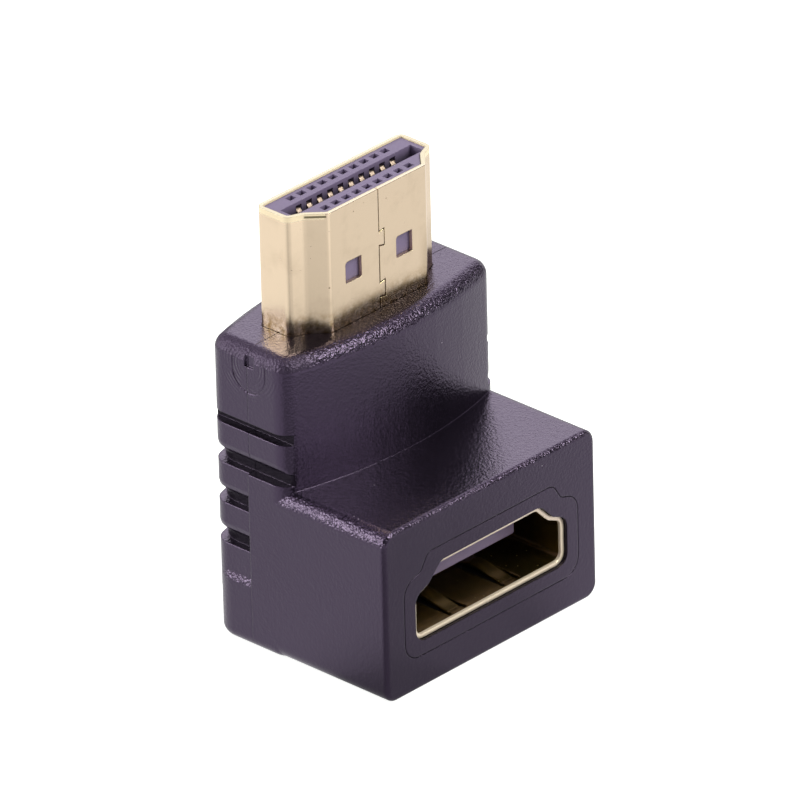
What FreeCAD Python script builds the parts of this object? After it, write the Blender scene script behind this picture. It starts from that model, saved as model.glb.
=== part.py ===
import FreeCAD, Part
import math
import os

# Right angle digital video adapter, in mm.
# +Z up, the plug points up, the socket mouth faces -Y, X runs along both connectors.
# The origin is at the middle of the bounding box in plan, on the flat underside.

# standard connector interface
PLUG_WIDTH = 13.9            # outside width of the plug shell
PLUG_HEIGHT = 4.45           # outside height of the plug shell
SHELL_WALL = 0.3             # sheet of both shells
MATE_CLEAR = 0.08            # play between a plug and a socket opening, per side
CONTACT_PITCH = 1.0          # along X in each row
WIDE_COUNT = 10              # contacts in the wide row
NARROW_COUNT = 9             # contacts in the narrow row

# half outline of the plug, x against w, w positive towards the wide side
SIDE_DROP = 2.78             # wide face down to where the side wall starts to turn in
STEP_X = 5.8                 # inner corner of the shoulder
STEP_W = -1.05
NARROW_HALF = 4.65           # half width of the narrow face
OUTLINE_R = (0.5, 0.55, 0.8, 0.45)

# overall layout
RIM_Z = 31.1                 # plug rim above the underside
HOUSING_Z = 22.3             # top of the upright block
FRONT_REACH = 11.8           # plug axis to the mouth face
BACK_REACH = 5.35            # plug axis to the crown of the back face
PLUG_Y = (FRONT_REACH - BACK_REACH) / 2
FRONT_Y = PLUG_Y - FRONT_REACH
UPRIGHT_HALF_Y = 4.9         # half thickness of the upright at its middle
PARTING_Y = PLUG_Y + BACK_REACH - UPRIGHT_HALF_Y
SOCKET_Z = 6.14              # middle of the socket opening

# upright block
UPRIGHT_HALF_X = 10.05
BULGE_R = 32.0               # crowned front and back faces
CROWN_ARCS = 6               # each crown is drawn as this many equal arcs
CORNER_R = 1.3
TOP_R = 1.05

# finger grooves in both ends
GROOVE_COUNT = 4
LEDGE_Z = 7.08               # floor of the lowest groove
GROOVE_PITCH = 2.99
GROOVE_H = 0.76
GROOVE_DEEP = 0.58
GROOVE_BACK_R = 2.3          # corner of the recessed core at the back
GROOVE_FRONT_R = 0.4
RIB_ROUND = 0.8              # height of the round under each rib
RIB_STEPS = 3
TOP_GROOVE_DEEP = 0.7
SHOULDER_GROOVE = 2          # grooves below the one whose floor is the block's shoulder

# foot flange behind the parting plane
FLANGE_R = 1.8
FLANGE_Z = 4.55
UPRIGHT_LAP = 1.0            # the upright runs on this far inside the flange
FLANGE_SLOPE = 1.3           # height of the slope, part of it inside the upright
SLOPE_IN = 0.3
FOOT_R = 0.75

# socket block, as wide as the flange
BLOCK_HALF_X = 10.25
BLOCK_Z = 12.6
BLOCK_R = 1.0
BLOCK_FRONT_R = 0.35

# gate scar on the left end
GATE_Y = PLUG_Y + 0.25
GATE_Z = 20.62
GATE_R = 1.55
GATE_RING = 0.14
GATE_DEEP = 0.03
NOTCH_WIDE = 0.8
NOTCH_DEEP = 0.16
NOTCH_DOWN = 1.3             # lower end of the torn notch below the top of the upright

# socket collar, x against w like the plug outline
COLLAR = ((8.4, 3.64, 1.3), (8.4, -2.08, 1.3), (6.8, -2.53, 0.6), (6.05, -3.73, 0.8))
COLLAR_CLEAR = 0.05
COLLAR_BACK = 1.3            # from the plug axis forward to the back of the collar
SHELL_SET = 0.28             # socket shell rim behind the mouth face
SHELL_CLEAR = 0.03           # round each shell, inside and outside

# tongue of the socket
TONGUE_SET = 2.9
TONGUE_SHORT = 0.85          # each end of the tongue short of the plug's slot
TONGUE_W = (-0.42, 0.60)
TONGUE_R = 0.25
ROOT_DEEP = 2.3              # moulded root behind the tongue
ROOT_ROOM = 0.9              # space round the tongue's contacts behind the collar
PAD_WIDE = 0.36
PAD_THICK = 0.12
PAD_SET = 0.45
PAD_CLEAR = 0.02

# spring fingers of the socket shell
WIDE_FINGER_X = 2.62
NARROW_FINGER_X = 2.45
FINGER_WIDE = 1.1
FINGER_SLOT = 0.32
FINGER_START = 0.38
FINGER_LONG = 4.9
FINGER_RISE = 0.5
FINGER_THICK = 0.24
FINGER_POCKET = 0.6
FINGER_ROUND = 0.15          # corners of the slots round a finger
FINGER_ROOT = 0.3            # a finger leaves the wall this far before its opening ends
FINGER_LINE = ((0.02, 0), (0.10, 0), (0.59, 1), (0.71, 1), (0.94, 0.24))   # shares of length and rise

# plug body
SHELL_DEEP = 12.0            # rim to the lower end of the plug shell
FACE_SET = 0.1               # insulator face below the rim
SLOT_END = 0.7               # each end of the slot inside the shell's end
SLOT_W = (-0.55, 0.65)
SLOT_DEEP = 8.6
CHANNEL_WIDE = 0.54
CHANNEL_DEEP = 0.6
CHANNEL_TOP = 0.36
HOLE_X = 0.6
HOLE_W = 0.5
HOLE_WIDE_ROW = 1.36
HOLE_NARROW_ROW = -1.28
HOLE_DEEP = 1.5
STRIP_WIDE = 0.4
STRIP_THICK = 0.15
TIP_LINE = ((0.42, 1.05), (0.26, 0.76), (0.08, 0.72), (-0.06, 0.88), (-0.22, 1.35),
            (-0.26, 2.4), (-0.2, 3.0))   # out from the slot's wall and down from the rim
STEM_TOP = 5.2

# latch windows and seam of the plug shell
WINDOW_X = 2.43
WINDOW_WIDE = 1.55
WINDOW_HIGH = 1.55
WINDOW_TOP = 4.2
WINDOW_R = 0.22
SEAM_GAP = 0.08
SEAM_X = 0.05
TAB_REACH = 0.5
TAB_HIGH = 1.22
TAB_TOPS = (3.08, 6.85)
TAB_FLARE = 0.1

# circuit board between the two connectors
BOARD_HALF_X = 8.0
BOARD_THICK = 0.8
BOARD_GAP = 0.3              # plug body down to the upper edge of the board
BOARD_LOW_Z = 1.6
END_ROOM = 0.2               # free space in the housing below the plug body
BOARD_CLEAR = 0.1
TAIL_LONG = 2.6
TAIL_ROOM = 0.7              # free space in the housing beside the last tails
TAIL_OUT = 0.2
JOG = 0.35                   # height over which a stem bends in to the board

V = FreeCAD.Vector
EPS = 0.02
OVER = 1.0                   # cutters reach this far past what they cut


def rounded(points):
    """Edges of a closed 2-D polygon of (x, y, radius), each corner rounded."""
    n = len(points)
    cuts = []
    for i in range(n):
        px, py, r = points[i]
        ax, ay = points[i - 1][0] - px, points[i - 1][1] - py
        bx, by = points[(i + 1) % n][0] - px, points[(i + 1) % n][1] - py
        la, lb = math.hypot(ax, ay), math.hypot(bx, by)
        ax, ay, bx, by = ax / la, ay / la, bx / lb, by / lb
        half = math.acos(max(-1.0, min(1.0, ax * bx + ay * by))) / 2
        if r < 1e-6 or abs(half - math.pi / 2) < 1e-4:
            cuts.append(((px, py), None, (px, py)))
            continue
        t = r / math.tan(half)
        mx, my = ax + bx, ay + by
        lm = math.hypot(mx, my)
        k = r / math.sin(half) - r
        mid = (px + mx / lm * k, py + my / lm * k)
        cuts.append(((px + ax * t, py + ay * t), mid, (px + bx * t, py + by * t)))
    return cuts


def wire(points, place):
    """Wire of a rounded polygon, each 2-D point put in space by place(x, y)."""
    cuts = rounded(points)
    edges = []
    n = len(cuts)
    for i in range(n):
        start, mid, end = cuts[i]
        if mid is not None:
            edges.append(Part.Arc(place(*start), place(*mid), place(*end)).toShape())
        nxt = cuts[(i + 1) % n][0]
        if math.hypot(nxt[0] - end[0], nxt[1] - end[1]) > 1e-5:
            edges.append(Part.makeLine(place(*end), place(*nxt)))
    return Part.Wire(Part.__sortEdges__(edges))


def offset(points, d):
    """Polygon moved outwards by d, with its corner radii kept concentric."""
    n = len(points)
    area = sum(points[i - 1][0] * points[i][1] - points[i][0] * points[i - 1][1] for i in range(n))
    s = 1.0 if area > 0 else -1.0
    out = []
    for i in range(n):
        x0, y0 = points[i - 1][:2]
        x1, y1, r = points[i]
        x2, y2 = points[(i + 1) % n][:2]
        ux, uy = x1 - x0, y1 - y0
        vx, vy = x2 - x1, y2 - y1
        lu, lv = math.hypot(ux, uy), math.hypot(vx, vy)
        ux, uy, vx, vy = ux / lu, uy / lu, vx / lv, vy / lv
        turn = (ux * vy - uy * vx) * s
        ax, ay = x1 + uy * s * d, y1 - ux * s * d
        bx, by = x1 + vy * s * d, y1 - vx * s * d
        det = ux * vy - uy * vx
        k = ((bx - ax) * vy - (by - ay) * vx) / det
        out.append((ax + ux * k, ay + uy * k, max(r + (d if turn > 0 else -d), 0.05)))
    return out


def mirrored(half):
    """Closed polygon from a right hand half outline."""
    return list(half) + [(-x, y, r) for x, y, r in reversed(half)]


HALF_H = PLUG_HEIGHT / 2
ROW_HALF = (WIDE_COUNT - 1) / 2 * CONTACT_PITCH
SLOT_HALF = PLUG_WIDTH / 2 - SLOT_END
TONGUE_HALF = SLOT_HALF - TONGUE_SHORT
PLUG = mirrored((
    (PLUG_WIDTH / 2, HALF_H, OUTLINE_R[0]),
    (PLUG_WIDTH / 2, HALF_H - SIDE_DROP, OUTLINE_R[1]),
    (STEP_X, STEP_W, OUTLINE_R[2]),
    (NARROW_HALF, -HALF_H, OUTLINE_R[3]),
))


def plug_prism(points, top, bottom):
    """Plug outline extruded between two depths below the rim."""
    w = wire(points, lambda x, y: V(x, PLUG_Y + y, RIM_Z - bottom))
    return Part.Face(w).extrude(V(0, 0, bottom - top))


def socket_prism(points, front, back):
    """Socket outline extruded between two Y values, its wide side down."""
    w = wire(points, lambda x, y: V(x, front, SOCKET_Z - y))
    return Part.Face(w).extrude(V(0, back - front, 0))


def box(x0, x1, y0, y1, z0, z1):
    return Part.makeBox(x1 - x0, y1 - y0, z1 - z0, V(x0, y0, z0))


def plug_box(x0, x1, w0, w1, top, bottom):
    return box(x0, x1, PLUG_Y + w0, PLUG_Y + w1, RIM_Z - bottom, RIM_Z - top)


def socket_box(x0, x1, w0, w1, front, back):
    return box(x0, x1, front, back, SOCKET_Z - w1, SOCKET_Z - w0)


def strip(line, thick):
    """Closed polygon of a sheet strip that follows a centre line."""
    left, right = [], []
    n = len(line)
    for i in range(n):
        a = line[max(i - 1, 0)]
        b = line[i]
        c = line[min(i + 1, n - 1)]
        d0 = (b[0] - a[0], b[1] - a[1]) if i > 0 else (c[0] - b[0], c[1] - b[1])
        d1 = (c[0] - b[0], c[1] - b[1]) if i < n - 1 else d0
        l0, l1 = math.hypot(*d0), math.hypot(*d1)
        nx, ny = -d0[1] / l0 - d1[1] / l1, d0[0] / l0 + d1[0] / l1
        ln = math.hypot(nx, ny)
        nx, ny = nx / ln, ny / ln
        k = thick / 2 / max(0.5, nx * -d0[1] / l0 + ny * d0[0] / l0)
        left.append((b[0] + nx * k, b[1] + ny * k))
        right.append((b[0] - nx * k, b[1] - ny * k))
    return left + right[::-1]


def plate(points, x, wide):
    """Polygon of 3-D points extruded along X about a middle x."""
    ring = [V(x - wide / 2, p[0], p[1]) for p in points]
    return Part.Face(Part.makePolygon(ring + ring[:1])).extrude(V(wide, 0, 0))


def rows():
    """Name number, x and side (+1 wide, -1 narrow) of each contact."""
    out = []
    for i in range(WIDE_COUNT):
        out.append((2 * i + 1, (i - (WIDE_COUNT - 1) / 2) * CONTACT_PITCH, 1))
    for i in range(NARROW_COUNT):
        out.append((2 * i + 2, (i - (NARROW_COUNT - 1) / 2) * CONTACT_PITCH, -1))
    return sorted(out)


def upright_wire(z, half_x, half_y, back_r, front_r):
    """Crowned block outline at one height."""
    edges = []
    ends = []
    for side, r in ((1, back_r), (-1, front_r)):
        cy = half_y - BULGE_R
        xc = half_x - r
        yc = cy + math.sqrt((BULGE_R - r) ** 2 - xc ** 2)
        k = BULGE_R / (BULGE_R - r)
        tx, ty = xc * k, cy + (yc - cy) * k
        a = math.atan2(yc - cy, xc) / 2
        mx, my = xc + r * math.cos(a), yc + r * math.sin(a)

        def at(x, y):
            return V(x, PARTING_Y + side * y, z)

        crown = []
        span = math.atan2(tx, ty - cy)
        for i in range(2 * CROWN_ARCS + 1):
            b = span * (i / CROWN_ARCS - 1)
            crown.append(at(BULGE_R * math.sin(b), cy + BULGE_R * math.cos(b)))
        for i in range(0, 2 * CROWN_ARCS, 2):
            edges.append(Part.Arc(crown[i], crown[i + 1], crown[i + 2]).toShape())
        edges.append(Part.Arc(crown[-1], at(mx, my), at(half_x, yc)).toShape())
        edges.append(Part.Arc(crown[0], at(-mx, my), at(-half_x, yc)).toShape())
        ends.append(at(half_x, yc))
        ends.append(at(-half_x, yc))
    edges.append(Part.makeLine(ends[0], ends[2]))
    edges.append(Part.makeLine(ends[1], ends[3]))
    return Part.Wire(Part.__sortEdges__(edges))


def prism(w, high):
    return Part.Face(w).extrude(V(0, 0, high))


def edges_at(shape, z):
    return [e for e in shape.Edges if abs(e.BoundBox.ZMin - z) < 1e-4 and abs(e.BoundBox.ZMax - z) < 1e-4]


def groove_cutter(floor):
    """Ring cut for one groove: flat floor, straight core, round under the rib above."""
    top = floor + GROOVE_H + RIB_ROUND
    core = prism(upright_wire(floor - EPS, UPRIGHT_HALF_X - GROOVE_DEEP, UPRIGHT_HALF_Y + EPS,
                              GROOVE_BACK_R, GROOVE_FRONT_R), GROOVE_H + EPS)
    below = None
    for step in range(RIB_STEPS + 1):
        t = math.radians(90 - 90 / RIB_STEPS * step)
        inset = GROOVE_DEEP * (1 - math.cos(t))
        grow = inset / GROOVE_DEEP
        out = EPS if step == RIB_STEPS else 0
        w = upright_wire(top - RIB_ROUND * math.sin(t), UPRIGHT_HALF_X - inset + out,
                         UPRIGHT_HALF_Y + EPS, CORNER_R + (GROOVE_BACK_R - CORNER_R) * grow,
                         CORNER_R + (GROOVE_FRONT_R - CORNER_R) * grow)
        if below is not None:
            core = core.fuse(Part.makeLoft([below, w], True, True))
        below = w
    ring = box(-UPRIGHT_HALF_X - OVER, UPRIGHT_HALF_X + OVER, PARTING_Y - UPRIGHT_HALF_Y - OVER,
               PARTING_Y + UPRIGHT_HALF_Y + OVER, floor, top)
    return ring.cut(core)


def make_shoulder(low):
    """Front half of the upright below the wrapping grooves, as wide as the socket block."""
    top = LEDGE_Z + SHOULDER_GROOVE * GROOVE_PITCH + GROOVE_H / 2
    wide = prism(upright_wire(low, BLOCK_HALF_X, UPRIGHT_HALF_Y, CORNER_R, CORNER_R), top - low)
    return wide.common(box(-BLOCK_HALF_X - OVER, BLOCK_HALF_X + OVER,
                           PARTING_Y - UPRIGHT_HALF_Y - OVER, PARTING_Y, low, top))


def make_housing():
    low = FLANGE_Z - UPRIGHT_LAP
    body = prism(upright_wire(low, UPRIGHT_HALF_X, UPRIGHT_HALF_Y, CORNER_R, CORNER_R),
                 HOUSING_Z - low)
    body = body.makeFillet(TOP_R, edges_at(body, HOUSING_Z))
    body = body.fuse(make_shoulder(low))
    for i in range(GROOVE_COUNT - 1):
        body = body.cut(groove_cutter(LEDGE_Z + i * GROOVE_PITCH))
    z = LEDGE_Z + (GROOVE_COUNT - 1) * GROOVE_PITCH
    for s in (-1, 1):
        x = sorted((s * (UPRIGHT_HALF_X - TOP_GROOVE_DEEP), s * (UPRIGHT_HALF_X + OVER)))
        body = body.cut(box(x[0], x[1], PARTING_Y - UPRIGHT_HALF_Y - OVER,
                            PARTING_Y + UPRIGHT_HALF_Y + OVER, z, z + GROOVE_H))

    foot = prism(upright_wire(0, BLOCK_HALF_X, UPRIGHT_HALF_Y, FLANGE_R, FLANGE_R), FLANGE_Z)
    foot = foot.makeFillet(FOOT_R, edges_at(foot, 0))
    slope = Part.makeLoft([
        upright_wire(FLANGE_Z, BLOCK_HALF_X, UPRIGHT_HALF_Y, FLANGE_R, FLANGE_R),
        upright_wire(FLANGE_Z + FLANGE_SLOPE, UPRIGHT_HALF_X - SLOPE_IN, UPRIGHT_HALF_Y - EPS,
                     CORNER_R, CORNER_R),
    ], True, True)
    foot = foot.fuse(slope)

    h = BLOCK_Z
    block_outline = [(BLOCK_HALF_X, 0, BLOCK_R), (BLOCK_HALF_X, h, BLOCK_R),
                     (-BLOCK_HALF_X, h, BLOCK_R), (-BLOCK_HALF_X, 0, BLOCK_R)]
    w = wire(block_outline, lambda x, y: V(x, FRONT_Y, y))
    block = Part.Face(w).extrude(V(0, PARTING_Y - FRONT_Y, 0))
    front = [e for e in block.Edges if e.BoundBox.YMax < FRONT_Y + 1e-4]
    block = block.makeFillet(BLOCK_FRONT_R, front)

    body = body.fuse([foot, block])

    body = body.cut(make_gate())
    cavities = [
        plug_prism(offset(PLUG, SHELL_CLEAR), RIM_Z - HOUSING_Z - OVER, SHELL_DEEP + END_ROOM),
        socket_prism(offset(mirrored(COLLAR), COLLAR_CLEAR), FRONT_Y - OVER, PLUG_Y - COLLAR_BACK + EPS),
        plug_box(-BOARD_HALF_X - BOARD_CLEAR, BOARD_HALF_X + BOARD_CLEAR, BOARD_W[0], BOARD_W[1],
                 SHELL_DEEP + END_ROOM, RIM_Z - BOARD_LOW_Z + BOARD_CLEAR),
        plug_box(-ROW_HALF - TAIL_ROOM, ROW_HALF + TAIL_ROOM, SLOT_W[0] - CHANNEL_DEEP - TAIL_OUT,
                 SLOT_W[1] + CHANNEL_DEEP + TAIL_OUT, SHELL_DEEP, BOARD_TOP + TAIL_LONG + TAIL_OUT),
        socket_box(-TONGUE_HALF - ROOT_ROOM, TONGUE_HALF + ROOT_ROOM, TONGUE_W[0] - ROOT_ROOM,
                   TONGUE_W[1] + ROOT_ROOM, PLUG_Y - COLLAR_BACK - EPS, PLUG_Y + BOARD_W[0]),
    ]
    for c in cavities:
        body = body.cut(c)
    return body


def make_gate():
    """Shallow U shaped ring and the torn gate notch at the top of the left end."""
    x0 = -UPRIGHT_HALF_X - OVER
    x1 = -UPRIGHT_HALF_X + GATE_DEEP
    outer = Part.makeCylinder(GATE_R, x1 - x0, V(x0, GATE_Y, GATE_Z), V(1, 0, 0))
    outer = outer.fuse(box(x0, x1, GATE_Y - GATE_R, GATE_Y + GATE_R, GATE_Z, HOUSING_Z + OVER))
    inner_r = GATE_R - GATE_RING
    inner = Part.makeCylinder(inner_r, x1 - x0, V(x0, GATE_Y, GATE_Z), V(1, 0, 0))
    inner = inner.fuse(box(x0, x1, GATE_Y - inner_r, GATE_Y + inner_r, GATE_Z, HOUSING_Z + OVER))
    notch = box(x0, -UPRIGHT_HALF_X + NOTCH_DEEP, GATE_Y - NOTCH_WIDE / 2, GATE_Y + NOTCH_WIDE / 2,
                HOUSING_Z - NOTCH_DOWN, HOUSING_Z + OVER)
    return outer.cut(inner).fuse(notch)


def make_collar():
    body = socket_prism(mirrored(COLLAR), FRONT_Y, PLUG_Y - COLLAR_BACK)
    hole = offset(PLUG, MATE_CLEAR + SHELL_WALL + SHELL_CLEAR)
    body = body.cut(socket_prism(hole, FRONT_Y - OVER, PLUG_Y))
    outer = HALF_H + MATE_CLEAR + SHELL_WALL
    y0 = SHELL_FRONT + FINGER_START - 0.1
    y1 = SHELL_FRONT + FINGER_START + FINGER_LONG + 0.1
    reach = FINGER_WIDE / 2 + FINGER_SLOT + 0.05
    for s in (-1, 1):
        x = s * WIDE_FINGER_X
        body = body.cut(socket_box(x - reach, x + reach, outer - 0.1, outer + FINGER_POCKET, y0, y1))
        x = s * NARROW_FINGER_X
        body = body.cut(socket_box(x - reach, x + reach, -outer - FINGER_POCKET, -outer + 0.1, y0, y1))
    return body


def make_socket_shell():
    inner = offset(PLUG, MATE_CLEAR)
    body = socket_prism(offset(inner, SHELL_WALL), SHELL_FRONT, SHELL_BACK)
    body = body.cut(socket_prism(inner, SHELL_FRONT - OVER, SHELL_BACK + OVER))
    wall = HALF_H + MATE_CLEAR
    reach = FINGER_WIDE / 2 + FINGER_SLOT
    y0 = SHELL_FRONT + FINGER_START
    y1 = y0 + FINGER_LONG
    r = FINGER_ROUND
    for side, where in ((1, WIDE_FINGER_X), (-1, NARROW_FINGER_X)):
        for s in (-1, 1):
            x = s * where
            half = FINGER_WIDE / 2
            opening = [(x - reach, y0, r), (x - half, y0, r), (x - half, y1 - FINGER_ROOT, 0),
                       (x + half, y1 - FINGER_ROOT, 0), (x + half, y0, r), (x + reach, y0, r),
                       (x + reach, y1, r), (x - reach, y1, r)]
            w = wire(opening, lambda a, b: V(a, b, SOCKET_Z - side * (wall - 0.2)))
            body = body.cut(Part.Face(w).extrude(V(0, 0, -side * (SHELL_WALL + 0.4))))
            ws = sorted((side * (wall - 0.2), side * (wall + 0.5)))
            body = body.cut(socket_box(x - half - EPS, x + half + EPS, ws[0], ws[1], y0 + 0.25, y1 - 0.2))
            mid = wall + SHELL_WALL / 2
            line = [(y0 + FINGER_LONG * a, mid - FINGER_RISE * b) for a, b in FINGER_LINE]
            poly = [(a, SOCKET_Z - side * b) for a, b in strip(line, FINGER_THICK)]
            body = body.fuse(plate(poly, x, FINGER_WIDE))
    return body


def make_socket_insulator():
    body = socket_prism(offset(PLUG, MATE_CLEAR - SHELL_CLEAR), SHELL_BACK - ROOT_DEEP, SHELL_BACK)
    w0, w1 = TONGUE_W
    tongue = socket_prism([(TONGUE_HALF, w1, TONGUE_R), (TONGUE_HALF, w0, TONGUE_R),
                           (-TONGUE_HALF, w0, TONGUE_R), (-TONGUE_HALF, w1, TONGUE_R)],
                          FRONT_Y + TONGUE_SET, SHELL_BACK - ROOT_DEEP + 0.1)
    tip = [e for e in tongue.Edges if e.BoundBox.YMax < FRONT_Y + TONGUE_SET + 1e-4]
    tongue = tongue.makeChamfer(0.12, tip)
    body = body.fuse(tongue)
    for number, x, side in rows():
        face = w1 if side > 0 else w0
        ws = sorted((face - side * (PAD_THICK + PAD_CLEAR), face + side * PAD_CLEAR))
        half = PAD_WIDE / 2 + PAD_CLEAR
        body = body.cut(socket_box(x - half, x + half, ws[0], ws[1],
                                   FRONT_Y + TONGUE_SET + PAD_SET - PAD_CLEAR, SHELL_BACK + OVER))
    return body


def make_socket_contact(x, side):
    face = TONGUE_W[1] if side > 0 else TONGUE_W[0]
    ws = sorted((face - side * PAD_THICK, face))
    return socket_box(x - PAD_WIDE / 2, x + PAD_WIDE / 2, ws[0], ws[1],
                      FRONT_Y + TONGUE_SET + PAD_SET, PLUG_Y + BOARD_W[0])


def make_plug_shell():
    body = plug_prism(PLUG, 0, SHELL_DEEP)
    body = body.cut(plug_prism(offset(PLUG, -SHELL_WALL), -OVER, SHELL_DEEP + OVER))
    for side in (-1, 1):
        for s in (-1, 1):
            x = s * WINDOW_X
            h = WINDOW_WIDE / 2
            z1 = RIM_Z - WINDOW_TOP
            z0 = z1 - WINDOW_HIGH
            pts = [(x - h, z0, 0.1), (x + h, z0, 0.1), (x + h, z1, 0.1), (x - h, z1, WINDOW_R)]
            w = wire(pts, lambda a, b: V(a, PLUG_Y + side * (HALF_H + 0.1), b))
            body = body.cut(Part.Face(w).extrude(V(0, -side * (SHELL_WALL + 0.2), 0)))
    body = body.cut(make_seam())
    return body


def make_seam():
    """Closed joint of the folded sheet, with two dovetail tabs."""
    path = [(SEAM_X, -OVER)]
    for top in TAB_TOPS:
        path += [(SEAM_X, top + TAB_FLARE), (SEAM_X + TAB_REACH, top),
                 (SEAM_X + TAB_REACH, top + TAB_HIGH), (SEAM_X, top + TAB_HIGH - TAB_FLARE)]
    path += [(SEAM_X, SHELL_DEEP + OVER)]
    poly = strip(path, SEAM_GAP)
    y = PLUG_Y - HALF_H - 0.2
    ring = [V(a, y, RIM_Z - b) for a, b in poly]
    return Part.Face(Part.makePolygon(ring + ring[:1])).extrude(V(0, SHELL_WALL + 0.3, 0))


def make_plug_insulator():
    body = plug_prism(offset(PLUG, -SHELL_WALL - SHELL_CLEAR), FACE_SET, SHELL_DEEP)
    w0, w1 = SLOT_W
    body = body.cut(plug_box(-SLOT_HALF, SLOT_HALF, w0, w1, -OVER, SLOT_DEEP))
    for number, x, side in rows():
        wall = w1 if side > 0 else w0
        ws = sorted((wall - side * 0.1, wall + side * CHANNEL_DEEP))
        half = CHANNEL_WIDE / 2
        body = body.cut(plug_box(x - half, x + half, ws[0], ws[1], CHANNEL_TOP, SHELL_DEEP + OVER))
        row = HOLE_WIDE_ROW if side > 0 else HOLE_NARROW_ROW
        body = body.cut(plug_box(x - HOLE_X / 2, x + HOLE_X / 2, row - HOLE_W / 2, row + HOLE_W / 2,
                                 -OVER, HOLE_DEEP))
    return body


def make_plug_contact(x, side):
    """Formed spring strip: curled tip, contact bow, straight stem, tail on the board."""
    mid = (SLOT_W[0] + SLOT_W[1]) / 2
    wall = (SLOT_W[1] - SLOT_W[0]) / 2
    stem = wall + CHANNEL_DEEP / 2
    tail = BOARD_THICK / 2 + STRIP_THICK / 2
    line = [(wall + out, down) for out, down in TIP_LINE]
    line += [(stem, STEM_TOP), (stem, SHELL_DEEP), (tail, BOARD_TOP + JOG), (tail, BOARD_TOP + TAIL_LONG)]
    poly = [(PLUG_Y + mid + side * a, RIM_Z - b) for a, b in strip(line, STRIP_THICK)]
    return plate(poly, x, STRIP_WIDE)


SHELL_FRONT = FRONT_Y + SHELL_SET
SHELL_BACK = PLUG_Y - COLLAR_BACK
BOARD_MID = (SLOT_W[0] + SLOT_W[1]) / 2
BOARD_W = (BOARD_MID - BOARD_THICK / 2, BOARD_MID + BOARD_THICK / 2)
BOARD_TOP = SHELL_DEEP + BOARD_GAP


def make_board():
    return box(-BOARD_HALF_X, BOARD_HALF_X, PLUG_Y + BOARD_W[0], PLUG_Y + BOARD_W[1],
               BOARD_LOW_Z, RIM_Z - BOARD_TOP)


shapes = {
    "moulded_housing": make_housing(),
    "socket_collar": make_collar(),
    "socket_shell": make_socket_shell(),
    "socket_insulator": make_socket_insulator(),
    "plug_shell": make_plug_shell(),
    "plug_insulator": make_plug_insulator(),
    "circuit_board": make_board(),
}
for number, x, side in rows():
    shapes["plug_contact_%02d" % number] = make_plug_contact(x, side)
    shapes["socket_contact_%02d" % number] = make_socket_contact(x, side)

os.makedirs("parts", exist_ok=True)
for name, shape in shapes.items():
    solids = shape.Solids
    if len(solids) == 1:
        shape = solids[0]
    shape.exportStep("parts/%s.step" % name)
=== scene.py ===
"""Right angle digital video adapter: looks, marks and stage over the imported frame."""
import math

import bpy
from mathutils import Matrix, Vector


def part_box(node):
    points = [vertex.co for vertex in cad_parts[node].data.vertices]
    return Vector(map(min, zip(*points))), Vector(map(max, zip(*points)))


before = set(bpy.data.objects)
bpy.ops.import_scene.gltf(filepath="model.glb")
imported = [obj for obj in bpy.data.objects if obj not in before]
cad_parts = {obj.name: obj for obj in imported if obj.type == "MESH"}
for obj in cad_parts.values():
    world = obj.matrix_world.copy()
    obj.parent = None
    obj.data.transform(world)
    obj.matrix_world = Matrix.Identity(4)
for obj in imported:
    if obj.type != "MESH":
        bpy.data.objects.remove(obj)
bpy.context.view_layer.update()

bl_info = {
    "name": "Right angle video adapter",
    "version": (1, 0, 0),
    "blender": (4, 5, 0),
    "location": "3D View > Sidebar > Adapter",
    "description": "Finishes and small mould marks of a right angle digital video adapter",
    "category": "Object",
}

MM = 0.001

# places taken from the frame
LOW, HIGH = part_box("moulded_housing")
PLUG_LOW, PLUG_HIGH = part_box("plug_shell")
PLUG_Y = (PLUG_LOW[1] + PLUG_HIGH[1]) / 2
RIM_Z = PLUG_HIGH[2]
PLUG_BASE_Z = HIGH[2]
FRONT_Y = LOW[1]
MOUTH_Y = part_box("socket_shell")[0][1]

# marks on the housing, and the grooves where painted shade goes
PARTING_Y = PLUG_Y + 0.45 * MM
GATE = (LOW[0] + 0.2 * MM, PLUG_Y + 0.25 * MM, HIGH[2] - 1.2 * MM)
RING_IN = (0.7 * MM, 1.1 * MM)         # gate rings fade in and out between these radii
RING_OUT = (3.0 * MM, 2.2 * MM)
GROOVE_Z = LOW[2] + 7.08 * MM          # floor of the lowest finger groove
GROOVE_PITCH = 2.99 * MM
GROOVE_OPEN = 0.80 * MM
GROOVE_STACK = 3.5                     # in pitches, ends above the fourth groove
GROOVE_SKIN = 0.12 * MM                # a groove's wall lies deeper than this
GROOVE_REACH = 1.6 * MM

# marks and painted shade in the plating
STAIN_UP = 2.8 * MM                    # the low stain fades out this far up the plug
BURNT_UP = (1.9 * MM, 0.2 * MM)
# darker towards the lower right of the plug's front face
SIDE_DARK_X = (3.6 * MM, 4.7 * MM)
SIDE_DARK_Z = (RIM_Z - 4.0 * MM, RIM_Z - 6.5 * MM)
CREASE_SHADE_Z = RIM_Z - 0.22 * MM             # painted shade of a short crease pressed under the rim
CREASE_SHADE_X = (-5.80 * MM, -4.77 * MM)
CREASE_SHADE_SOFT = 0.05 * MM

# scales of the noises, per metre
FLOW_NOISE = 700.0
WAVE_NOISE = 2400.0
SPARK_NOISE = 5400.0
DRAWN_NOISE = 5200.0

# fixed tones of the finishes, with the painted highlight and shade tones among them
DUST_TONE = (0.50, 0.44, 0.52)
BURNT_TONE = (0.34, 0.21, 0.06)
WORN_GOLD_GLINT = (0.98, 0.80, 0.45)
PLUG_RIM_TONE = (0.62, 0.52, 0.38)
SOCKET_RIM_HIGHLIGHT = (1.0, 0.82, 0.68)
CREASE_SHADE_TONE = (0.08, 0.06, 0.02)
VINYL_TINT = (0.80, 0.58, 1.0, 1.0)
VINYL_IOR = 1.8

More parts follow.
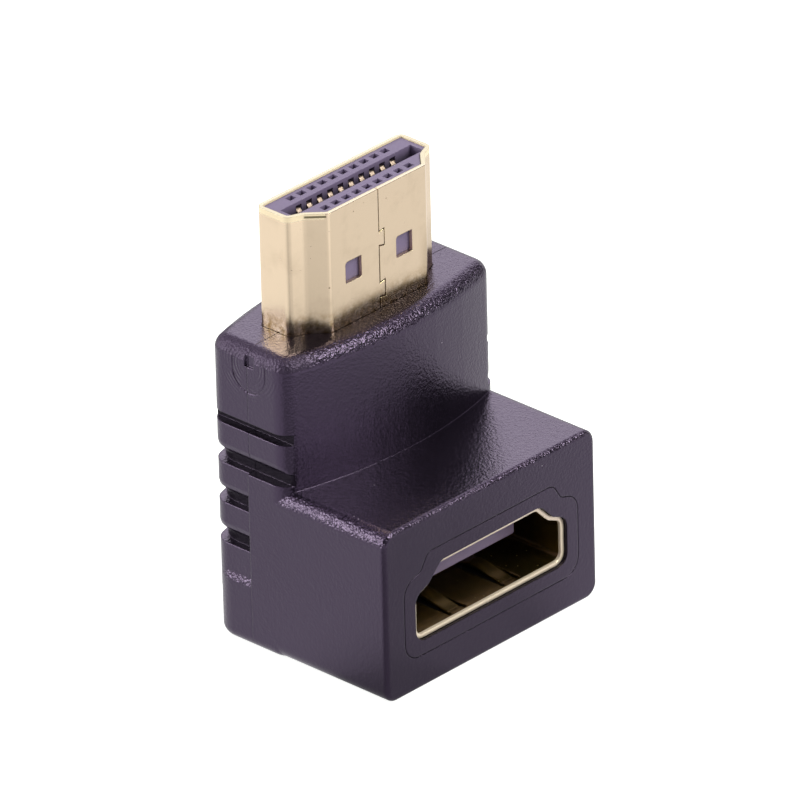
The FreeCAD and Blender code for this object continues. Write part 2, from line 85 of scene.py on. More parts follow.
# softboxes: name, direction, distance, size, brightness property, colour
WHITE = (1.0, 1.0, 1.0)
WARM = (1.0, 1.08, 0.90)
SOFTBOXES = (
    ("back_softbox", (0.72, 0.52, 0.47), 0.55, (0.34, 0.26), "back", WHITE),
    ("key_softbox", (0.27, -0.667, 0.695), 0.50, (0.20, 0.30), "key", WARM),
    ("side_softbox", (-0.72, 0.62, 0.36), 0.55, (0.30, 0.34), "side", WARM),
)
AIM_Z = 0.015

# floor as the surfaces see it: direction across it, start and end of the lobe, change
FLOOR_SHADE = (0.62, 0.62, 0.62, 1)
FLOOR_GLOW = 0.78
FLOOR_LEVEL = 1.02
FLOOR_TONES = (
    (0.0, -1.0, -0.2, 0.3, -0.14),
    (0.0, -1.0, 0.88, 0.98, 0.26),
    (-0.89, -0.46, 0.975, 1.0, -0.22),
)
FLOOR_SHADOWS = (
    (-0.3, -0.95, 0.3, 0.9, 0.52),
    (-0.9, 0.45, 0.2, 0.9, 0.09),
)
SHADOW_REACH = (0.054, 0.034)
SKY_TURN = (-0.40, 0.15)               # the sky brightens between these directions in y
SKY_TONE = (1.0, 0.91, 1.03)


class AdapterColours(bpy.types.PropertyGroup):
    vinyl: bpy.props.FloatVectorProperty(
        name="Housing", description="Colour of the overmould", subtype="COLOR", size=3,
        min=0, max=1, default=(0.0034, 0.0026, 0.0044))
    vinyl_light: bpy.props.FloatVectorProperty(
        name="Housing bloom", description="Paler bloom on the overmould", subtype="COLOR", size=3,
        min=0, max=1, default=(0.0070, 0.0052, 0.0086))
    collar: bpy.props.FloatVectorProperty(
        name="Collar", description="Colour of the inner moulding round the socket", subtype="COLOR",
        size=3, min=0, max=1, default=(0.0040, 0.0028, 0.0046))
    gold: bpy.props.FloatVectorProperty(
        name="Plug gold", description="Colour of the plug's plating", subtype="COLOR", size=3,
        min=0, max=1, default=(0.86, 0.69, 0.50))
    # the socket's gold is a darker copy of the plug's gold, painted shade of the socket's interior
    gold_shaded: bpy.props.FloatVectorProperty(
        name="Socket gold", description="Colour of the socket's plating", subtype="COLOR", size=3,
        min=0, max=1, default=(0.56, 0.43, 0.16))
    stain: bpy.props.FloatVectorProperty(
        name="Stain", description="Colour of marks in the plating", subtype="COLOR", size=3,
        min=0, max=1, default=(0.26, 0.18, 0.09))
    insulator: bpy.props.FloatVectorProperty(
        name="Insulator", description="Colour of the contact carriers", subtype="COLOR", size=3,
        min=0, max=1, default=(0.165, 0.122, 0.225))
    contact: bpy.props.FloatVectorProperty(
        name="Contacts", description="Colour of the contact plating", subtype="COLOR", size=3,
        min=0, max=1, default=(0.50, 0.365, 0.32))
    board: bpy.props.FloatVectorProperty(
        name="Board", description="Colour of the board's mask", subtype="COLOR", size=3,
        min=0, max=1, default=(0.02, 0.09, 0.05))


class AdapterSurface(bpy.types.PropertyGroup):
    grain_size: bpy.props.FloatProperty(
        name="Grain", description="Size of the spark grain on the moulding", subtype="DISTANCE",
        min=0.00002, max=0.001, default=0.00012)
    grain_depth: bpy.props.FloatProperty(
        name="Grain depth", description="Depth of the spark grain", subtype="DISTANCE",
        min=0, max=0.0002, default=0.000030)
    vinyl_rough: bpy.props.FloatProperty(
        name="Housing roughness", description="Sheen of the overmould", subtype="FACTOR",
        min=0, max=1, default=0.17)
    gold_rough: bpy.props.FloatProperty(
        name="Gold roughness", description="Sheen of the plating", subtype="FACTOR",
        min=0, max=1, default=0.20)
    edge_round: bpy.props.FloatProperty(
        name="Edge softness", description="Softened width of every edge", subtype="DISTANCE",
        min=0, max=0.0005, default=0.00008)
    parting_width: bpy.props.FloatProperty(
        name="Parting line", description="Width of the mould parting line", subtype="DISTANCE",
        min=0, max=0.0005, default=0.00005)
    ring_pitch: bpy.props.FloatProperty(
        name="Gate rings", description="Distance between the flow rings round the gate",
        subtype="DISTANCE", min=0.0001, max=0.002, default=0.00026)


class AdapterStage(bpy.types.PropertyGroup):
    azimuth: bpy.props.FloatProperty(
        name="Azimuth", description="Camera direction in degrees", default=-46.23)
    elevation: bpy.props.FloatProperty(
        name="Elevation", description="Camera height in degrees", default=27.937)
    roll: bpy.props.FloatProperty(
        name="Roll", description="Camera roll in degrees", default=-1.448)
    focal_px: bpy.props.FloatProperty(
        name="Focal", description="Focal length in pixels of 800", default=14832.0)
    scale_px: bpy.props.FloatProperty(
        name="Scale", description="Pixels per mm at the plug rim", default=15.208)
    rim_u: bpy.props.FloatProperty(
        name="Rim across", description="Pixel column of the plug rim's middle", default=352.649)
    rim_v: bpy.props.FloatProperty(
        name="Rim down", description="Pixel row of the plug rim's middle", default=179.126)
    sky: bpy.props.FloatProperty(
        name="Sky", description="Brightness of the studio seen in the surfaces", min=0, default=0.75)
    sky_front: bpy.props.FloatProperty(
        name="Dark front", description="Brightness of the studio on the camera's side",
        min=0, default=0.08)
    fill: bpy.props.FloatProperty(
        name="Fill", description="Strength of the even fill light", min=0, default=0.60)
    back: bpy.props.FloatProperty(
        name="Back softbox", description="Brightness of the box behind", min=0, default=1.3)
    key: bpy.props.FloatProperty(
        name="Key softbox", description="Brightness of the high front box", min=0, default=11.0)
    side: bpy.props.FloatProperty(
        name="Side softbox", description="Brightness of the box at the left", min=0, default=6.5)


def colours():
    return bpy.context.scene.adapter_colours


def surface():
    return bpy.context.scene.adapter_surface


# ---------------------------------------------------------------- shader helpers


class Net:
    """Small writer for one node tree."""

    def __init__(self, tree):
        self.tree = tree

    def add(self, kind, **values):
        n = self.tree.nodes.new(kind)
        for key, v in values.items():
            setattr(n, key, v)
        return n

    def put(self, socket, value):
        if isinstance(value, bpy.types.NodeSocket):
            self.tree.links.new(value, socket)
            return
        if hasattr(socket.default_value, "__len__") and len(socket.default_value) == 4 and len(value) == 3:
            value = (*value, 1.0)
        socket.default_value = value

    def math(self, op, a, b=0.0, c=None, clamp=False):
        n = self.add("ShaderNodeMath", operation=op, use_clamp=clamp)
        self.put(n.inputs[0], a)
        self.put(n.inputs[1], b)
        if c is not None:
            self.put(n.inputs[2], c)
        return n.outputs[0]

    def times(self, first, *rest):
        for value in rest:
            first = self.math("MULTIPLY", first, value)
        return first

    def off(self, a, b):
        """Distance between two numbers."""
        return self.math("ABSOLUTE", self.math("SUBTRACT", a, b))

    def mix(self, fac, a, b):
        n = self.add("ShaderNodeMix", data_type="RGBA")
        self.put(n.inputs[0], fac)
        self.put(n.inputs[6], a)
        self.put(n.inputs[7], b)
        return n.outputs[2]

    def ramp(self, value, low, high):
        n = self.add("ShaderNodeMapRange", interpolation_type="SMOOTHSTEP")
        self.put(n.inputs["Value"], value)
        self.put(n.inputs["From Min"], low)
        self.put(n.inputs["From Max"], high)
        return n.outputs["Result"]

    def noise(self, vector, scale, detail=2.0, rough=0.5):
        n = self.add("ShaderNodeTexNoise")
        self.put(n.inputs["Vector"], vector)
        self.put(n.inputs["Scale"], scale)
        self.put(n.inputs["Detail"], detail)
        self.put(n.inputs["Roughness"], rough)
        return n.outputs["Fac"]

    def split(self, vector):
        n = self.add("ShaderNodeSeparateXYZ")
        self.put(n.inputs[0], vector)
        return tuple(n.outputs)

    def vector(self, op, a, b=None):
        n = self.add("ShaderNodeVectorMath", operation=op)
        self.put(n.inputs[0], a)
        if b is not None:
            self.put(n.inputs[1], b)
        return n.outputs["Vector" if op == "NORMALIZE" else "Value"]


def make_group(name, sockets_in, sockets_out):
    tree = bpy.data.node_groups.new(name, "ShaderNodeTree")
    for label, kind, default in sockets_in:
        s = tree.interface.new_socket(label, in_out="INPUT", socket_type=kind)
        if default is not None:
            s.default_value = default
    for label, kind in sockets_out:
        tree.interface.new_socket(label, in_out="OUTPUT", socket_type=kind)
    net = Net(tree)
    return net, net.add("NodeGroupInput"), net.add("NodeGroupOutput")


def spark_grain():
    """Height and cloud of an eroded mould surface."""
    name = "Spark grain"
    if name in bpy.data.node_groups:
        return bpy.data.node_groups[name]
    net, gin, gout = make_group(
        name, [("Vector", "NodeSocketVector", None), ("Size", "NodeSocketFloat", 0.00016)],
        [("Height", "NodeSocketFloat"), ("Cloud", "NodeSocketFloat")])
    scale = net.math("DIVIDE", 1.0, gin.outputs["Size"])
    fine = net.noise(gin.outputs["Vector"], scale, 2.0, 0.6)
    cells = net.add("ShaderNodeTexVoronoi", feature="SMOOTH_F1")
    net.put(cells.inputs["Vector"], gin.outputs["Vector"])
    net.put(cells.inputs["Scale"], net.math("MULTIPLY", scale, 0.62))
    net.put(cells.inputs["Smoothness"], 0.6)
    height = net.math("ADD", net.times(fine, 0.65), net.times(cells.outputs["Distance"], 0.5))
    cloud = net.noise(gin.outputs["Vector"], 260.0, 3.0, 0.55)
    net.put(gout.inputs["Height"], height)
    net.put(gout.inputs["Cloud"], cloud)
    return net.tree


def edge_mask():
    """Mask of sharp edges, from how far a rounded normal leaves the true one."""
    name = "Edge wear"
    if name in bpy.data.node_groups:
        return bpy.data.node_groups[name]
    net, gin, gout = make_group(
        name, [("Vector", "NodeSocketVector", None), ("Width", "NodeSocketFloat", 0.00015)],
        [("Mask", "NodeSocketFloat")])
    geo = net.add("ShaderNodeNewGeometry")
    turn = net.vector("DOT_PRODUCT", soft_normal(net, gin.outputs["Width"]), geo.outputs["Normal"])
    edge = net.ramp(turn, 0.995, 0.80)
    broken = net.ramp(net.noise(gin.outputs["Vector"], 1400.0, 4.0, 0.7), 0.42, 0.62)
    net.put(gout.inputs["Mask"], net.times(edge, broken))
    return net.tree


def dust_specks():
    """Sparse pale specks of dust and lint."""
    name = "Dust specks"
    if name in bpy.data.node_groups:
        return bpy.data.node_groups[name]
    net, gin, gout = make_group(
        name, [("Vector", "NodeSocketVector", None), ("Spacing", "NodeSocketFloat", 0.0012),
               ("Size", "NodeSocketFloat", 0.07)],
        [("Mask", "NodeSocketFloat")])
    dots = net.add("ShaderNodeTexVoronoi")
    net.put(dots.inputs["Vector"], gin.outputs["Vector"])
    net.put(dots.inputs["Scale"], net.math("DIVIDE", 1.0, gin.outputs["Spacing"]))
    near = net.ramp(dots.outputs["Distance"], gin.outputs["Size"], 0.0)
    sep = net.add("ShaderNodeSeparateColor")
    net.put(sep.inputs[0], dots.outputs["Color"])
    few = net.math("GREATER_THAN", sep.outputs[0], 0.72)
    net.put(gout.inputs["Mask"], net.times(near, few))
    return net.tree


def start_material(name):
    m = bpy.data.materials.new(name)
    m.use_nodes = True
    m.node_tree.nodes.clear()
    net = Net(m.node_tree)
    out = net.add("ShaderNodeOutputMaterial")
    bsdf = net.add("ShaderNodeBsdfPrincipled")
    net.put(out.inputs[0], bsdf.outputs[0])
    place = net.add("ShaderNodeTexCoord").outputs["Object"]
    return m, net, bsdf, place


def use(net, tree, **inputs):
    n = net.add("ShaderNodeGroup")
    n.node_tree = tree
    for key, v in inputs.items():
        net.put(n.inputs[key], v)
    return n.outputs


def soft_normal(net, width):
    bevel = net.add("ShaderNodeBevel", samples=6)
    net.put(bevel.inputs["Radius"], width)
    return bevel.outputs["Normal"]


def bump(net, height, distance, normal=None):
    n = net.add("ShaderNodeBump")
    net.put(n.inputs["Height"], height)
    net.put(n.inputs["Distance"], distance)
    net.put(n.inputs["Strength"], 1.0)
    if normal is not None:
        net.put(n.inputs["Normal"], normal)
    return n.outputs["Normal"]


# ---------------------------------------------------------------- finishes


def groove_shade(net, x, z, facing):
    """Mask of the housing's walls that lie deep in the wrapping finger grooves, where reflection is
    lowered as painted shade.
    """
    step = net.math("FLOORED_MODULO", net.math("SUBTRACT", z, GROOVE_Z), GROOVE_PITCH)
    out = net.math("ABSOLUTE", x)
    return net.times(
        net.math("LESS_THAN", step, GROOVE_OPEN),
        net.math("GREATER_THAN", z, GROOVE_Z - 0.1 * MM),
        net.math("LESS_THAN", z, GROOVE_Z + GROOVE_STACK * GROOVE_PITCH),
        net.math("LESS_THAN", out, HIGH[0] - GROOVE_SKIN),
        net.math("GREATER_THAN", out, HIGH[0] - GROOVE_REACH),
        net.math("GREATER_THAN", facing[1], -0.8),
        net.ramp(facing[2], 0.5, 0.2))


def gate_rings(net, place, x, pitch):
    """Height of the flow rings round the gate scar, on the left end only."""
    r = net.vector("DISTANCE", place, GATE)
    ring = net.math("SINE", net.times(r, 2 * math.pi / pitch))
    return net.times(
        ring, net.ramp(r, *RING_IN), net.ramp(r, *RING_OUT),
        net.ramp(net.noise(place, FLOW_NOISE, 1.0, 0.5), 0.38, 0.60),
        net.ramp(x, LOW[0] + 0.7 * MM, LOW[0] + 0.4 * MM), 0.35)


def vinyl_material(name, base, light, marks):
    """Dark moulded vinyl with spark grain, bloom, dust, paler edges that are worn and partly a painted
    glint, and painted shade deep in the housing's grooves and on the collar's inner walls; on the housing,
    also its mould marks.
    """
    s = surface()
    m, net, bsdf, place = start_material(name)
    x, y, z = net.split(place)
    facing = net.split(net.add("ShaderNodeNewGeometry").outputs["True Normal"])
    grain = use(net, spark_grain(), Vector=place, Size=s.grain_size)
    edge = use(net, edge_mask(), Vector=place, Width=0.00016)["Mask"]
    dust = use(net, dust_specks(), Vector=place, Spacing=0.0013, Size=0.045)["Mask"]
    bloom = net.ramp(grain["Cloud"], 0.35, 0.72)
    colour = net.mix(net.times(bloom, 0.45), base, light)
    # paler edges: wear, and partly a painted glint along them
    colour = net.mix(net.times(edge, 0.25), colour, [min(1, c * 2.6) for c in light])
    colour = net.mix(net.times(dust, 0.8), colour, DUST_TONE)

    # the grain is coarse on rounded edges and calmer on level faces
    flat = net.ramp(facing[2], 0.93, 0.985)
    fillet = net.times(net.ramp(facing[2], 0.08, 0.25), net.math("SUBTRACT", 1.0, flat))
    wave = net.times(net.noise(place, WAVE_NOISE, 2.0, 0.5), net.math("MULTIPLY_ADD", flat, -0.12, 0.30))
    spark = net.times(net.noise(place, SPARK_NOISE, 1.0, 0.5), fillet, 3.0)
    height = net.math("ADD", net.math("ADD", grain["Height"], wave), spark)
    rough = net.math("ADD", s.vinyl_rough, net.times(grain["Cloud"], 0.08))

    if marks:
        line = net.ramp(net.off(y, PARTING_Y), s.parting_width, 0.0)
        colour = net.mix(net.times(line, 0.6), colour, [c * 0.35 for c in base])
        height = net.math("SUBTRACT", height, line)
        height = net.math("ADD", height, gate_rings(net, place, x, s.ring_pitch))
        shade = groove_shade(net, x, z, facing)
        dull = net.times(net.ramp(z, HIGH[2] - 1.6 * MM, HIGH[2] - 1.0 * MM),
                         net.ramp(x, LOW[0] + 3.0 * MM, LOW[0] + 1.6 * MM), fillet)
        rough = net.math("ADD", rough, net.times(dull, 0.30))
    else:
        # painted shade on the collar's walls inside the mouth, which turn away from the front
        shade = net.ramp(facing[1], -0.8, -0.3)
    net.put(bsdf.inputs["Base Color"], colour)
    # painted shade: reflection is lowered where the shade mask is high
    net.put(bsdf.inputs["Specular IOR Level"], net.math("SUBTRACT", 0.5, net.times(shade, 0.42)))
    net.put(bsdf.inputs["Roughness"], net.math("ADD", rough, net.times(dust, 0.3)))
    bsdf.inputs["IOR"].default_value = VINYL_IOR
    bsdf.inputs["Specular Tint"].default_value = VINYL_TINT
    net.put(bsdf.inputs["Normal"], bump(net, height, s.grain_depth, soft_normal(net, s.edge_round * 1.5)))
    return m


def plug_stains(net, place, x, z, stain):
    """Stain with the darker base added and a darkening towards the lower right edge, and the mask of the
    burnt base.
    """
    low = net.ramp(z, PLUG_BASE_Z + STAIN_UP, PLUG_BASE_Z)
    patch = net.ramp(net.noise(place, 900.0, 4.0, 0.65), 0.40, 0.68)
    stain = net.math("ADD", stain, net.times(low, patch, 0.55), clamp=True)
    side = net.times(net.ramp(x, *SIDE_DARK_X), net.ramp(z, *SIDE_DARK_Z))
    stain = net.math("ADD", stain, net.times(side, 0.8), clamp=True)
    burnt = net.times(net.ramp(z, PLUG_BASE_Z + BURNT_UP[0], PLUG_BASE_Z + BURNT_UP[1]),
                      net.ramp(net.noise(place, 2600.0, 3.0, 0.6), 0.30, 0.70))
    return stain, burnt


def plug_rim(net, bsdf, x, y, z, colour):
    """Paler cut rim of the plug, its tone also darkened as painted shade that tones down the rim's
    highlight, duller just inside it, with painted shade of the crease pressed under it.
    """
    # paler cut rim, and darker as painted shade that tones down its highlight
    rim = net.ramp(z, RIM_Z - 0.04 * MM, RIM_Z - 0.01 * MM)
    colour = net.mix(rim, colour, PLUG_RIM_TONE)
    inner = net.times(net.ramp(net.off(y, PLUG_Y), 2.06 * MM, 2.02 * MM),
                      net.ramp(z, RIM_Z - 0.5 * MM, RIM_Z - 0.3 * MM))
    net.put(bsdf.inputs["Metallic"], net.math("SUBTRACT", 1.0, net.times(inner, 0.9)))
    # painted shade of the crease pressed under the rim, a short dark dash
    crease_shade = net.times(
        net.ramp(net.off(z, CREASE_SHADE_Z), 0.11 * MM, 0.05 * MM),
        net.ramp(x, CREASE_SHADE_X[1] + CREASE_SHADE_SOFT, CREASE_SHADE_X[1] - CREASE_SHADE_SOFT),
        net.ramp(x, CREASE_SHADE_X[0] - CREASE_SHADE_SOFT, CREASE_SHADE_X[0] + CREASE_SHADE_SOFT),
        net.math("LESS_THAN", y, PLUG_Y), 0.9)
    return net.mix(crease_shade, colour, CREASE_SHADE_TONE)


def socket_rim(net, bsdf, y, base, colour):
    """Socket plating, darker with depth as painted shade, with a painted highlight on its rim."""
    # painted shade: the plating darkens deeper into the socket
    deep = net.ramp(y, FRONT_Y + 0.5 * MM, FRONT_Y + 4.0 * MM)
    colour = net.mix(deep, colour, [b * 0.50 for b in base])
    # painted highlight: a pale, half-metallic band along the socket shell's rim
    rim = net.ramp(y, MOUTH_Y + 0.27 * MM, MOUTH_Y + 0.20 * MM)
    net.put(bsdf.inputs["Metallic"], net.math("SUBTRACT", 1.0, net.times(rim, 0.50)))
    return net.mix(rim, colour, SOCKET_RIM_HIGHLIGHT)


def gold_material(name, base, plug):
    """Gold plating with drawn streaks, specks and stains, worn edges partly painted as a glint, and
    painted shade and highlights at the rims and inside the socket.
    """
    c, s = colours(), surface()
    m, net, bsdf, place = start_material(name)
    x, y, z = net.split(place)
    cloud = net.noise(place, 420.0, 4.0, 0.6)
    specks = use(net, dust_specks(), Vector=place, Spacing=0.0011, Size=0.085)["Mask"]
    fine = use(net, dust_specks(), Vector=place, Spacing=0.0005, Size=0.10)["Mask"]
    mark = net.math("MAXIMUM", net.times(specks, 0.75), net.times(fine, 0.45))
    edge = use(net, edge_mask(), Vector=place, Width=0.00012)["Mask"]
    stain = net.times(net.ramp(cloud, 0.50, 0.78), 0.30)
    if plug:
        stain, burnt = plug_stains(net, place, x, z, stain)
    colour = net.mix(stain, base, [b * 0.62 + t * 0.38 for b, t in zip(base, c.stain)])
    if plug:
        colour = net.mix(net.times(burnt, 0.85), colour, BURNT_TONE)
    colour = net.mix(mark, colour, c.stain)
    # paler worn edges, partly a painted glint
    colour = net.mix(net.times(edge, 0.5), colour, WORN_GOLD_GLINT)
    if plug:
        colour = plug_rim(net, bsdf, x, y, z, colour)
    else:
        colour = socket_rim(net, bsdf, y, base, colour)
    net.put(bsdf.inputs["Base Color"], colour)

    stretch = net.add("ShaderNodeMapping")
    net.put(stretch.inputs["Vector"], place)
    stretch.inputs["Scale"].default_value = (1.0, 1.0, 0.06) if plug else (1.0, 0.06, 1.0)
    drawn = net.noise(stretch.outputs[0], DRAWN_NOISE, 2.0, 0.5)
    rough = net.math("ADD", s.gold_rough, net.times(cloud, 0.10))
    net.put(bsdf.inputs["Roughness"], net.math("ADD", rough, net.times(mark, 0.35)))
    height = net.math("ADD", net.times(drawn, 0.5), net.times(cloud, 1.2))
    height = net.math("SUBTRACT", height, net.times(mark, 1.5))
    soft = soft_normal(net, s.edge_round if plug else 0.00020)
    net.put(bsdf.inputs["Normal"], bump(net, height, 0.000006, soft))
    return m


def insulator_material():
    """Smooth lavender moulding with faint flow marks and dust, and painted shade deep in the plug's slot.
    """
    c = colours()
    m, net, bsdf, place = start_material("Lavender insulator")
    x, y, z = net.split(place)
    flow = net.noise(place, FLOW_NOISE, 3.0, 0.5)
    fine = net.noise(place, 9000.0, 2.0, 0.5)
    edge = use(net, edge_mask(), Vector=place, Width=0.00008)["Mask"]
    dust = use(net, dust_specks(), Vector=place, Spacing=0.0008, Size=0.07)["Mask"]
    colour = net.mix(flow, [v * 0.88 for v in c.insulator], [v * 1.12 for v in c.insulator])
    colour = net.mix(net.times(edge, 0.4), colour, [min(1, v * 1.8) for v in c.insulator])
    colour = net.mix(net.times(dust, 0.5), colour, (0.55, 0.50, 0.58))
    # painted shade: the insulator darkens deep in the plug's slot
    deep = net.times(net.ramp(z, RIM_Z - 0.12 * MM, RIM_Z - 0.9 * MM),
                     net.math("GREATER_THAN", z, PLUG_BASE_Z),
                     net.math("LESS_THAN", net.off(y, PLUG_Y), 1.84 * MM), 0.80)
    colour = net.mix(deep, colour, [v * 0.2 for v in c.insulator])
    net.put(bsdf.inputs["Base Color"], colour)
    bsdf.inputs["Specular IOR Level"].default_value = 0.45
    net.put(bsdf.inputs["Roughness"], net.math("ADD", 0.42, net.times(flow, 0.14)))
    height = net.math("ADD", net.times(fine, 0.6), flow)
    net.put(bsdf.inputs["Normal"], bump(net, height, 0.000005, soft_normal(net, 0.00005)))
    return m


def contact_material():
    """Plated spring strip, polished where it rubs."""
    c = colours()
    m, net, bsdf, place = start_material("Contact plating")
    wear = net.ramp(net.noise(place, 2600.0, 3.0, 0.6), 0.40, 0.70)
    colour = net.mix(net.times(wear, 0.4), c.contact, (0.58, 0.45, 0.40))
    net.put(bsdf.inputs["Base Color"], colour)
    bsdf.inputs["Metallic"].default_value = 1.0
    net.put(bsdf.inputs["Roughness"], net.math("ADD", 0.42, net.times(wear, 0.15)))
    net.put(bsdf.inputs["Normal"], bump(net, wear, 0.000004, soft_normal(net, 0.00010)))
    return m


def board_material():
    """Laminate with solder mask over a faint glass weave."""
    c = colours()
    m, net, bsdf, place = start_material("Board mask")
    x, y, z = net.split(place)
    turns = 2 * math.pi / (0.5 * MM)
    weave = net.times(net.math("SINE", net.times(x, turns)), net.math("SINE", net.times(z, turns)))
    mottle = net.noise(place, 900.0, 3.0, 0.5)
    net.put(bsdf.inputs["Base Color"], net.mix(mottle, c.board, [v * 1.7 for v in c.board]))
    net.put(bsdf.inputs["Roughness"], net.math("ADD", 0.25, net.times(mottle, 0.2)))
    net.put(bsdf.inputs["Normal"], bump(net, weave, 0.000006))
    return m


def dress(node, material):
    """Gives a CAD node its finished material."""
    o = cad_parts[node]
    o.data.materials.clear()
    o.data.materials.append(material)


# ---------------------------------------------------------------- operators


class ADAPTER_OT_housing(bpy.types.Operator):
    """Finish the overmould and the collar in its mouth"""

    bl_idname = "adapter.finish_housing"
    bl_label = "Housing and collar"

    def execute(self, context):
        c = colours()
        dress("moulded_housing", vinyl_material("Housing vinyl", list(c.vinyl), list(c.vinyl_light), True))
        dress("socket_collar", vinyl_material("Collar vinyl", list(c.collar), list(c.vinyl_light), False))
        return {"FINISHED"}


class ADAPTER_OT_shells(bpy.types.Operator):
    """Finish the two folded connector shells"""

    bl_idname = "adapter.finish_shells"
    bl_label = "Shells"

    def execute(self, context):
        c = colours()
        dress("plug_shell", gold_material("Plug plating", list(c.gold), True))
        dress("socket_shell", gold_material("Socket plating", list(c.gold_shaded), False))
        return {"FINISHED"}


class ADAPTER_OT_insulators(bpy.types.Operator):
    """Finish the two moulded contact carriers"""

    bl_idname = "adapter.finish_insulators"
    bl_label = "Insulators"

    def execute(self, context):
        m = insulator_material()
        dress("plug_insulator", m)
        dress("socket_insulator", m)
        return {"FINISHED"}


class ADAPTER_OT_contacts(bpy.types.Operator):
    """Finish every contact of the plug and the socket"""

    bl_idname = "adapter.finish_contacts"
    bl_label = "Contacts"

    def execute(self, context):
        m = contact_material()
        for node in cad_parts:
            if "_contact_" in node:
                dress(node, m)
        return {"FINISHED"}


class ADAPTER_OT_board(bpy.types.Operator):
    """Finish the board that joins both connectors"""

    bl_idname = "adapter.finish_board"
    bl_label = "Board"

    def execute(self, context):
        dress("circuit_board", board_material())
        return {"FINISHED"}


class ADAPTER_OT_stage(bpy.types.Operator):
    """Set the floor, the soft lights and the camera"""

    bl_idname = "adapter.stage"
    bl_label = "Stage"

    def execute(self, context):
        s = context.scene.adapter_stage
        build_floor()
        build_lights(s)
        build_camera(s)
        return {"FINISHED"}


def floor_level(net):
    """Brightness of the floor as the surfaces see it, by direction from the part."""
    place = net.add("ShaderNodeTexCoord").outputs["Object"]
    way = net.vector("NORMALIZE", place)
    near = net.ramp(net.vector("LENGTH", place), *SHADOW_REACH)

    def lobe(x, y, low, high):
        return net.ramp(net.vector("DOT_PRODUCT", way, (x, y, 0.0)), low, high)

    level = FLOOR_LEVEL
    for x, y, low, high, change in FLOOR_TONES:
        level = net.math("ADD", level, net.times(lobe(x, y, low, high), change))
    for x, y, low, high, loss in FLOOR_SHADOWS:
        shadow = net.times(near, lobe(x, y, low, high), loss)
        level = net.times(level, net.math("SUBTRACT", 1.0, shadow))
    return level


def build_floor():
    bpy.ops.object.select_all(action="DESELECT")
    bpy.ops.mesh.primitive_plane_add(size=3.0, location=(0, 0, -0.01 * MM))
    floor = bpy.context.object
    floor.name = "studio_floor"
    m = bpy.data.materials.new("Studio sweep")
    m.use_nodes = True
    m.node_tree.nodes.clear()
    net = Net(m.node_tree)
    path = net.add("ShaderNodeLightPath")
    diffuse = net.add("ShaderNodeBsdfDiffuse")
    diffuse.inputs["Color"].default_value = FLOOR_SHADE
    glow = net.add("ShaderNodeEmission")
    net.put(glow.inputs["Strength"], net.times(path.outputs["Is Camera Ray"], FLOOR_GLOW))
    lit = net.add("ShaderNodeAddShader")
    net.put(lit.inputs[0], diffuse.outputs[0])
    net.put(lit.inputs[1], glow.outputs[0])
    mirror = net.add("ShaderNodeEmission")
    net.put(mirror.inputs["Strength"], floor_level(net))
    above = net.add("ShaderNodeMixShader")
    net.put(above.inputs[0], path.outputs["Is Glossy Ray"])
    net.put(above.inputs[1], lit.outputs[0])
    net.put(above.inputs[2], mirror.outputs[0])
    both = net.add("ShaderNodeMixShader")
    net.put(both.inputs[0], net.add("ShaderNodeNewGeometry").outputs["Backfacing"])
    net.put(both.inputs[1], above.outputs[0])
    net.put(both.inputs[2], net.add("ShaderNodeBsdfTransparent").outputs[0])
    net.put(net.add("ShaderNodeOutputMaterial").inputs[0], both.outputs[0])
    floor.data.materials.append(m)


def softbox(name, toward, far, size, bright, tone):
    """Rectangular light in a direction from the part, with a given brightness against white."""
    light = bpy.data.lights.new(name, "AREA")
    light.shape = "RECTANGLE"
    light.size, light.size_y = size
    light.energy = bright * math.pi * size[0] * size[1]
    light.color = tone
    o = bpy.data.objects.new(name, light)
    bpy.context.scene.collection.objects.link(o)
    at = Vector(toward).normalized() * far
    o.location = at + Vector((0, 0, AIM_Z))
    o.rotation_euler = (-at).to_track_quat("-Z", "Y").to_euler()


def build_lights(s):
    world = bpy.data.worlds.new("Studio light")
    world.use_nodes = True
    world.node_tree.nodes.clear()
    net = Net(world.node_tree)
    back = net.add("ShaderNodeBackground")
    path = net.add("ShaderNodeLightPath")
    net.put(back.inputs["Color"], net.mix(path.outputs["Is Glossy Ray"], WHITE, SKY_TONE))
    way = net.split(net.add("ShaderNodeTexCoord").outputs["Generated"])
    sky = net.math("ADD", s.sky_front, net.times(net.ramp(way[1], *SKY_TURN), s.sky - s.sky_front))
    seen = net.times(path.outputs["Is Camera Ray"], 1.0 - s.fill)
    mirrored = net.times(path.outputs["Is Glossy Ray"], net.math("SUBTRACT", sky, s.fill))
    net.put(back.inputs["Strength"], net.math("ADD", s.fill, net.math("ADD", seen, mirrored)))
    net.put(net.add("ShaderNodeOutputWorld").inputs[0], back.outputs[0])
    bpy.context.scene.world = world
    for name, toward, far, size, bright, tone in SOFTBOXES:
        softbox(name, toward, far, size, getattr(s, bright), tone)


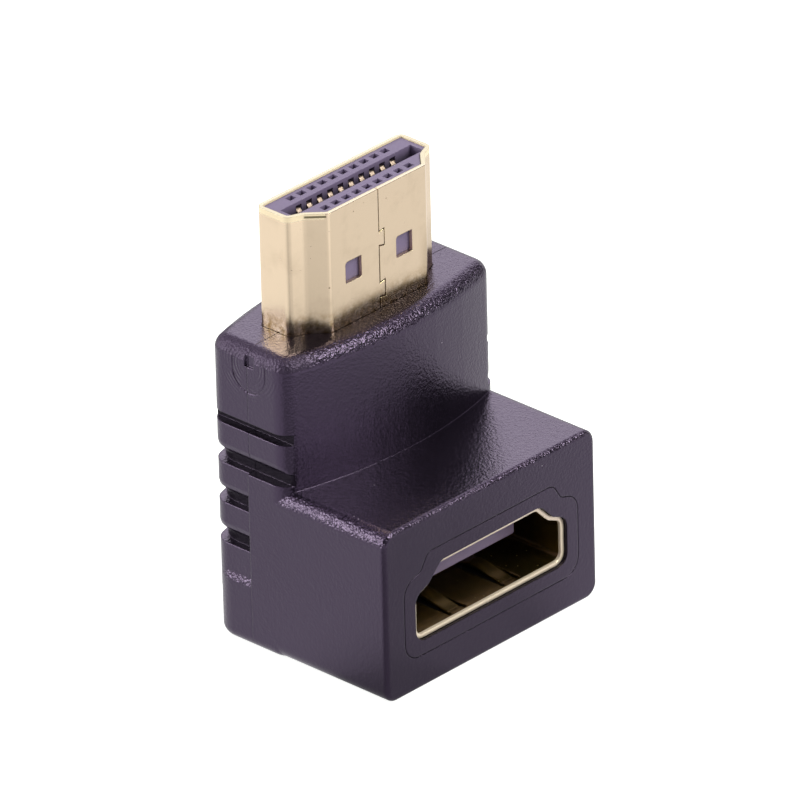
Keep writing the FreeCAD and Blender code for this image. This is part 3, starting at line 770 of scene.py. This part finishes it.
def build_camera(s):
    a, e, t = (math.radians(v) for v in (s.azimuth, s.elevation, s.roll))
    back = Vector((math.sin(a) * math.cos(e), -math.cos(a) * math.cos(e), math.sin(e)))
    right = Vector((math.cos(a), math.sin(a), 0))
    up = back.cross(right)
    right, up = right * math.cos(t) + up * math.sin(t), up * math.cos(t) - right * math.sin(t)
    far = s.focal_px / s.scale_px * MM
    cx = (s.rim_u - 400) / s.focal_px * far
    cy = -(s.rim_v - 400) / s.focal_px * far
    data = bpy.data.cameras.new("Photo camera")
    data.sensor_width = 36
    data.lens = s.focal_px / 800 * 36
    data.clip_start = 0.01
    data.clip_end = 20
    cam = bpy.data.objects.new("photo_camera", data)
    bpy.context.scene.collection.objects.link(cam)
    cam.matrix_world = Matrix.Translation(
        Vector((0, PLUG_Y, RIM_Z)) + back * far - right * cx - up * cy
    ) @ Matrix((right, up, back)).transposed().to_4x4()
    bpy.context.scene.camera = cam


class ADAPTER_PT_panel(bpy.types.Panel):
    """Sidebar panel with every step"""

    bl_idname = "ADAPTER_PT_panel"
    bl_label = "Right angle adapter"
    bl_space_type = "VIEW_3D"
    bl_region_type = "UI"
    bl_category = "Adapter"

    def draw(self, context):
        scene = context.scene
        for group in (scene.adapter_colours, scene.adapter_surface, scene.adapter_stage):
            for key in group.bl_rna.properties.keys():
                if key not in ("rna_type", "name"):
                    self.layout.prop(group, key)
        for step in STEPS:
            self.layout.operator(step.bl_idname)


STEPS = (ADAPTER_OT_housing, ADAPTER_OT_shells, ADAPTER_OT_insulators, ADAPTER_OT_contacts,
         ADAPTER_OT_board, ADAPTER_OT_stage)
CLASSES = (AdapterColours, AdapterSurface, AdapterStage, *STEPS, ADAPTER_PT_panel)


def register():
    for c in CLASSES:
        bpy.utils.register_class(c)
    bpy.types.Scene.adapter_colours = bpy.props.PointerProperty(type=AdapterColours)
    bpy.types.Scene.adapter_surface = bpy.props.PointerProperty(type=AdapterSurface)
    bpy.types.Scene.adapter_stage = bpy.props.PointerProperty(type=AdapterStage)


def unregister():
    del bpy.types.Scene.adapter_stage
    del bpy.types.Scene.adapter_surface
    del bpy.types.Scene.adapter_colours
    for c in reversed(CLASSES):
        bpy.utils.unregister_class(c)


def main():
    register()
    bpy.context.scene.view_settings.view_transform = "Standard"
    bpy.ops.adapter.finish_housing()
    bpy.ops.adapter.finish_shells()
    bpy.ops.adapter.finish_insulators()
    bpy.ops.adapter.finish_contacts()
    bpy.ops.adapter.finish_board()
    bpy.ops.adapter.stage()


if __name__ == "__main__":
    main()
